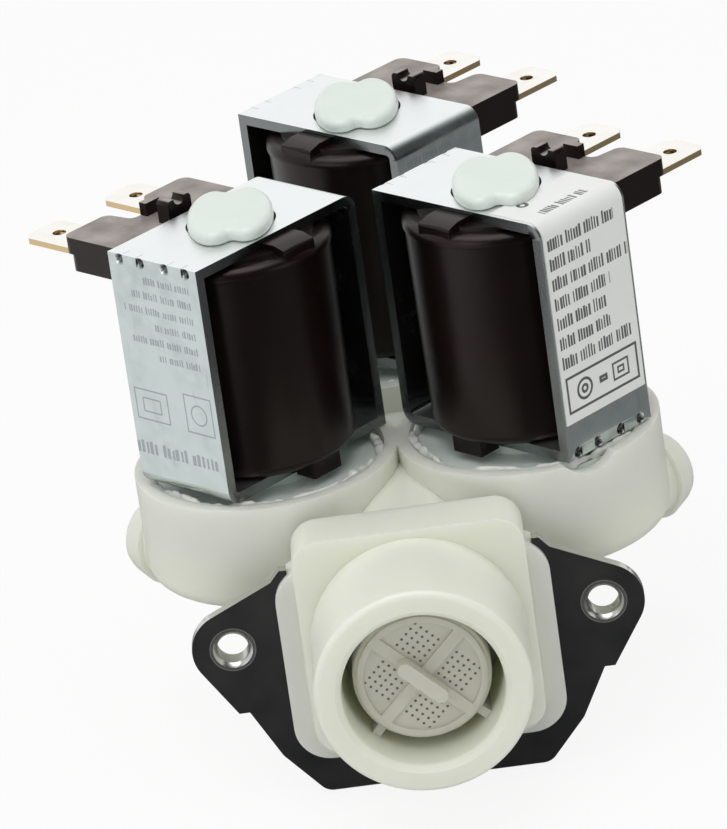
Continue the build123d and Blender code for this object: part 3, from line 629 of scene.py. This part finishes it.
# Bracket: black coat on the broad faces, bare steel on cut edges and round the screw holes.
# bare = faces that don't look along Y, most where they look up as a painted highlight of the lamp
# above, or points nearer a hole's axis than the drawn ring.
bracketSet = {"colour": (0.016, 0.017, 0.018, 1), "second": (0.034, 0.034, 0.034, 1),
              "driftScale": 150.0, "drift": 0.8, "grainScale": 2600.0, "grain": 0.5,
              "roughness": 0.36, "roughDrift": 0.15, "bareAndGlint": (0.62, 0.62, 0.60, 1),
              "bareRoughness": 0.25, "edgeFacing": (0.55, 0.85, 1.0, 0.0),
              # upward and least set how much more bare steel colour up-facing edges get, a painted
              # highlight
              "upward": (0.1, 0.5), "least": 0.25, "holeSide": 22.8, "ring": 2.75, "soft": 0.12}


def bracketMaterial(values):
    material, tree, shader, where = startMaterial("bracketCoat")
    surface = mouldSurface(tree, where, values)
    place, facing = partsOf(tree, where), facingParts(tree)
    across = mathNode(tree, "SUBTRACT", absolute(tree, place["X"]), values["holeSide"] * mm)
    ring = rampBetween(tree, distance(tree, across, place["Z"]), values["ring"] * mm,
                       (values["ring"] + values["soft"]) * mm, 1.0, 0.0)
    # Painted highlight: cut edges that look up get more of the bare steel colour, as if lit from
    # above
    upward = rampBetween(tree, facing["Z"], *values["upward"])
    edge = mathNode(tree, "MULTIPLY",
                    rampBetween(tree, absolute(tree, facing["Y"]), *values["edgeFacing"]),
                    mathNode(tree, "MAXIMUM", upward, values["least"]))
    bareAndGlint = mathNode(tree, "MAXIMUM", edge, ring)
    dress(tree, shader, surface, {
        "Base Color": mixColour(tree, bareAndGlint, surface["Colour"], values["bareAndGlint"]),
        "Roughness": mixValue(tree, bareAndGlint, surface["Roughness"], values["bareRoughness"]),
        "Metallic": bareAndGlint})
    return material


plastics = {name: plasticMaterial(name + "Plastic", values) for name, values in plasticSet.items()}
metals = {name: metalMaterial(name + "Metal", values) for name, values in metalSet.items()}
yokeSkins = {name: yokeMaterial(name, yokeSet) for name in valveSet}
coilSkins = {name: coilMaterial(name, coilSet) for name in valveSet}
labelSkin, spadeSkin = labelMaterial(labelSet), spadeMaterial(spadeSet)
bracketCoat = bracketMaterial(bracketSet)
addFilterHoles(plastics["filter"], filterHoles)
print("materials built")


# What each CAD node is finished with, and how far its edges are rounded
nodeFinish = {"valve_body": (plastics["body"], 0.25), "bracket": (bracketCoat, 0.08),
              "inlet_filter": (plastics["filter"], 0.08),
              "regulator_holder": (plastics["white"], 0),
              "regulator_washer": (plastics["rubber"], 0), "rating_label": (labelSkin, 0)}
for name in valveSet:
    valveFinish = {
        "yoke_cover": (yokeSkins[name], 0.12), "yoke_base": (yokeSkins[name], 0.12),
        "coil_case": (coilSkins[name], 0.2), "bobbin": (plastics["bobbin"], 0),
        "winding": (metals["copper"], 0), "flux_bush_lower": (metals["inner"], 0),
        "flux_bush_upper": (metals["inner"], 0), "spade_a": (spadeSkin, 0.06),
        "spade_b": (spadeSkin, 0.06), "guide_tube": (plastics["tube"], 0.15),
        "armature": (metals["inner"], 0), "armature_seal": (plastics["rubber"], 0),
        "return_spring": (metals["inner"], 0), "membrane": (plastics["rubber"], 0),
        "membrane_insert": (plastics["white"], 0)}
    nodeFinish.update({part + "_" + name: finish for part, finish in valveFinish.items()})

# How loose triangles become a smooth mesh: weld is a distance in metres, angles are in degrees
finishSet = {"weld": 2e-6, "segments": 2, "roundAngle": 40.0, "smoothAngle": 38.0,
             "normalWeight": 60}


def makeSmoothTree(limit):
    # Smooth faces, with edges kept sharp where two faces meet at more than the limit
    tree = bpy.data.node_groups.new("smoothFaces", "GeometryNodeTree")
    for way in ("INPUT", "OUTPUT"):
        tree.interface.new_socket(name="Geometry", in_out=way, socket_type="NodeSocketGeometry")
    enter, leave = tree.nodes.new("NodeGroupInput"), tree.nodes.new("NodeGroupOutput")
    angle = addNode(tree, "GeometryNodeInputMeshEdgeAngle").outputs["Unsigned Angle"]
    sharp = mathNode(tree, "GREATER_THAN", angle, math.radians(limit))
    soft = addNode(tree, "GeometryNodeSetShadeSmooth", {"Geometry": enter.outputs[0]})
    hard = addNode(tree, "GeometryNodeSetShadeSmooth", {
        "Geometry": soft.outputs[0], "Selection": sharp, "Shade Smooth": False}, domain="EDGE")
    feed(tree, leave, {0: hard.outputs[0]})
    return tree


smoothTree = makeSmoothTree(finishSet["smoothAngle"])


def finishNode(piece, material, roundMm, values):
    for place in piece.material_slots:
        place.material = material
    if not piece.material_slots:
        piece.data.materials.append(material)
    weld = piece.modifiers.new("weld", "WELD")
    weld.merge_threshold = values["weld"]
    if roundMm:
        bevel = piece.modifiers.new("edgeRound", "BEVEL")
        bevel.width, bevel.segments = roundMm * mm, values["segments"]
        bevel.limit_method, bevel.angle_limit = "ANGLE", math.radians(values["roundAngle"])
        bevel.use_clamp_overlap = True
        bevel.miter_outer = "MITER_ARC"
    smooth = piece.modifiers.new("smooth", "NODES")
    smooth.node_group = smoothTree
    even = piece.modifiers.new("evenNormals", "WEIGHTED_NORMAL")
    even.keep_sharp, even.weight = True, values["normalWeight"]


for name, (material, roundMm) in nodeFinish.items():
    finishNode(nodes[name], material, roundMm, finishSet)
print("nodes finished:", len(nodeFinish))


# Weld flash: an uneven bead of body plastic in the seam between each cup and the tube's flange.
# Point at turn a and section angle b: the ring's circle, which sways inwards with a sine of a, plus
# a section radius that swells and thins with a sum of sine waves in a and is dented by a weaker
# wave in both angles. It stands taller than it is wide and stops below the yoke.
# waves = count round the ring, size and start angle, dents = counts along b and a.
flashSet = {"radius": 14.42, "height": 14.65, "section": 0.40, "tall": 1.75, "top": 15.5,
            "sway": 0.75, "swayCount": 7, "steps": 420, "sides": 14,
            "waves": ((5, 0.20, 0.6), (11, 0.22, 2.1), (23, 0.20, 4.4), (47, 0.16, 1.3)),
            "dent": 0.22, "dents": (3, 9), "shift": {"left": 0.0, "right": 1.9, "rear": 3.7}}


def makeFlash(valve, values):
    steps, sides, phase = values["steps"], values["sides"], values["shift"][valve]
    turn = np.linspace(0, 2 * np.pi, steps, endpoint=False)[:, None]
    around = np.linspace(0, 2 * np.pi, sides, endpoint=False)[None, :]
    swell = 1 + sum(size * np.sin(count * turn + start + phase * count)
                    for count, size, start in values["waves"])
    dented = 1 + values["dent"] * np.sin(values["dents"][0] * around + values["dents"][1] * turn
                                         + phase)
    section = values["section"] * swell * dented
    inward = values["sway"] * (1 + np.sin(values["swayCount"] * turn + phase)) / 2
    ring = values["radius"] - inward + section * np.cos(around)
    height = np.minimum(values["height"] + values["tall"] * section * np.sin(around),
                        values["top"])
    centre = valveSet[valve]["place"]
    points = np.stack([centre[0] + ring * np.cos(turn), centre[1] + ring * np.sin(turn), height],
                      axis=-1).reshape(-1, 3) * mm
    number = np.arange(steps * sides).reshape(steps, sides)
    ahead, beside = np.roll(number, -1, axis=0), np.roll(number, -1, axis=1)
    faces = np.stack([number, ahead, np.roll(ahead, -1, axis=1), beside],
                     axis=-1).reshape(-1, 4)
    mesh = bpy.data.meshes.new("weldFlash" + valve.capitalize())
    mesh.from_pydata(points.tolist(), [], faces.tolist())
    mesh.polygons.foreach_set("use_smooth", np.ones(len(faces), dtype=bool))
    mesh.materials.append(plastics["flash"])
    flash = bpy.data.objects.new(mesh.name, mesh)
    scene.collection.objects.link(flash)
    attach(flash, "housing")


for name in valveSet:
    makeFlash(name, flashSet)
print("weld flash laid")


# Floor: plain white to the camera with a soft contact shadow. In reflections it is bright on the
# left, dark in front and grey on the right, as a table with dark cloths beside it looks.
# size and the mirror ramps are in metres along X.
stageSet = {"floorDrop": 0.2, "size": 3.0, "shadow": 0.12, "tone": (0.86, 0.87, 0.86, 1),
            "mirrorLeft": (-0.10, -0.04, 0.95, 0.10), "mirrorRight": (0.04, 0.09, 0.0, 0.14)}


def makeStage(values):
    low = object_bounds()[0][2] - values["floorDrop"] * mm
    half = values["size"] / 2
    corners = [(-half, -half, low), (half, -half, low), (half, half, low), (-half, half, low)]
    mesh = bpy.data.meshes.new("studioFloor")
    mesh.from_pydata(corners, [], [(0, 1, 2, 3)])
    floor = bpy.data.objects.new("studioFloor", mesh)
    scene.collection.objects.link(floor)
    floor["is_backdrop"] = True
    material = bpy.data.materials.new("floorPaper")
    material.use_nodes = True
    tree = material.node_tree
    tree.nodes.clear()
    path = addNode(tree, "ShaderNodeLightPath").outputs
    side = partsOf(tree, addNode(tree, "ShaderNodeTexCoord").outputs["Object"])["X"]
    level = mathNode(tree, "ADD", rampBetween(tree, side, *values["mirrorLeft"]),
                     rampBetween(tree, side, *values["mirrorRight"]))
    seen = mathNode(tree, "MULTIPLY", path["Is Camera Ray"], 1.0 - values["shadow"])
    paper = addNode(tree, "ShaderNodeBsdfDiffuse", {"Color": values["tone"]}).outputs[0]
    glow = addNode(tree, "ShaderNodeEmission", {"Color": white, "Strength": 1.0}).outputs[0]
    mirrored = addNode(tree, "ShaderNodeEmission", {"Color": white, "Strength": level}).outputs[0]
    plain = addNode(tree, "ShaderNodeMixShader", {0: seen, 1: paper, 2: glow}).outputs[0]
    mixed = addNode(tree, "ShaderNodeMixShader", {0: path["Is Glossy Ray"], 1: plain,
                                                  2: mirrored}).outputs[0]
    addNode(tree, "ShaderNodeOutputMaterial", {0: mixed})
    mesh.materials.append(material)


makeStage(stageSet)


# World: white to the camera, a softer grey light for diffuse rays, and a dark room in front for
# reflections. mirror = the brightest of the ways back, left and straight up, each a ramp on the
# direction of the ray.
worldSet = {"light": 0.47, "tint": (1.0, 1.0, 0.97, 1), "behind": (0.20, 0.65, 0.05, 1.0),
            "left": (-0.70, -0.35, 0.8, 0.0), "above": (0.75, 0.95)}


def makeWorld(values):
    world = bpy.data.worlds.new("studio")
    scene.world = world
    world.use_nodes = True
    tree = world.node_tree
    tree.nodes.clear()
    path = addNode(tree, "ShaderNodeLightPath").outputs
    seen = mathNode(tree, "MAXIMUM", path["Is Camera Ray"], path["Is Transmission Ray"])
    way = partsOf(tree, addNode(tree, "ShaderNodeTexCoord").outputs["Generated"])
    mirror = chain(tree, "MAXIMUM", [rampBetween(tree, way["Y"], *values["behind"]),
                                     rampBetween(tree, way["Z"], *values["above"]),
                                     rampBetween(tree, way["X"], *values["left"])])
    soft, glossy, plain = (
        addNode(tree, "ShaderNodeBackground", {"Color": colour, "Strength": strength}).outputs[0]
        for colour, strength in ((values["tint"], values["light"]), (white, mirror), (white, 1.0)))
    mixed = addNode(tree, "ShaderNodeMixShader", {0: path["Is Glossy Ray"], 1: soft,
                                                  2: glossy}).outputs[0]
    mixed = addNode(tree, "ShaderNodeMixShader", {0: seen, 1: mixed, 2: plain}).outputs[0]
    addNode(tree, "ShaderNodeOutputWorld", {0: mixed})


makeWorld(worldSet)

# Soft boxes in metres and watts: one overhead, one front left, one low fill from the right.
# All of them look at the target.
lampSet = {"target": (0, 0.02, 0.015), "lamps": {
    "overhead": {"place": (-0.10, -0.05, 0.75), "size": 0.8, "power": 3.1},
    "frontLeft": {"place": (-0.60, -0.75, 0.45), "size": 0.6, "power": 1.1},
    "frontRight": {"place": (0.70, -0.45, 0.30), "size": 0.5, "power": 0.55}}}


def makeLamps(values):
    for name, row in values["lamps"].items():
        data = bpy.data.lights.new(name, "AREA")
        data.shape, data.size, data.energy = "DISK", row["size"], row["power"]
        lamp = bpy.data.objects.new(name, data)
        scene.collection.objects.link(lamp)
        lamp.location = row["place"]
        lamp.rotation_mode = "QUATERNION"
        way = Vector(values["target"]) - Vector(row["place"])
        lamp.rotation_quaternion = way.to_track_quat("-Z", "Y")


makeLamps(lampSet)
print("stage and lamps placed")
